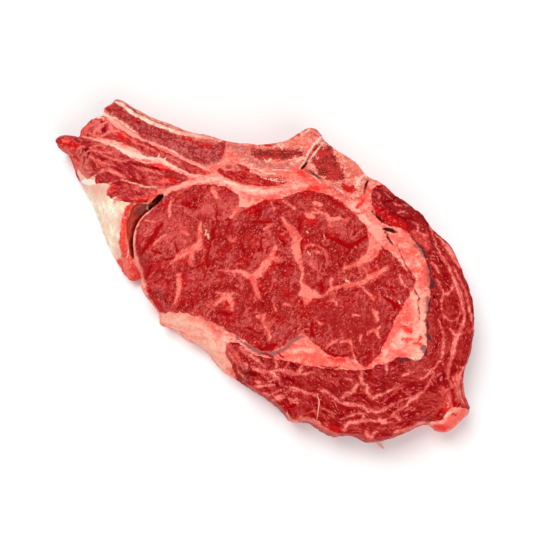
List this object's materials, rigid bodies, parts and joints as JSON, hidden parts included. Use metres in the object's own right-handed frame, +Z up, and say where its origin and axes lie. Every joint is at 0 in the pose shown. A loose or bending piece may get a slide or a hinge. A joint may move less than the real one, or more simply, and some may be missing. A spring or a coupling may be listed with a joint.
{
  "type": "raw ribeye steak",
  "caption": "Thick raw bone-in ribeye steak with a marbled eye muscle, a cap muscle, beds of fat, a sawn rib and back bone, and an outer fat flap.",
  "frame": {"origin": "middle of the underside", "axes": "+X along the steak's length, +Y towards the rib bone, +Z up through the thickness"},
  "size_m": [0.2307, 0.19, 0.0302],
  "materials": {
    "eye_lean": "moist red lean meat with pink marbling",
    "cap_lean": "moist dark red lean meat with long pink veins",
    "flank_lean": "moist red lean meat, coarser",
    "rib_bone": "sawn purple-red bone with a white edge",
    "back_bone": "sawn bone with dark red marrow and pink gristle",
    "outer_fat": "waxy white to cream fat",
    "seam_fat": "waxy pink fat",
    "membrane": "glossy brown membrane"
  },
  "bodies": {
    "root": {"eye_muscle": "eye_lean", "cap_muscle": "cap_lean", "flank_meat": "flank_lean", "lower_flank_meat": "flank_lean", "rib_meat": "flank_lean", "seam_meat": "cap_lean", "rib_bone": "rib_bone", "chine_bone": "back_bone", "feather_bone": "back_bone", "flap_fat": "outer_fat", "seam_fat": "seam_fat", "rim_fat": "seam_fat", "wedge_fat": "seam_fat", "kernel_fat": "seam_fat", "corner_fat": "seam_fat", "pocket_membrane": "membrane"}
  },
  "joints": []
}
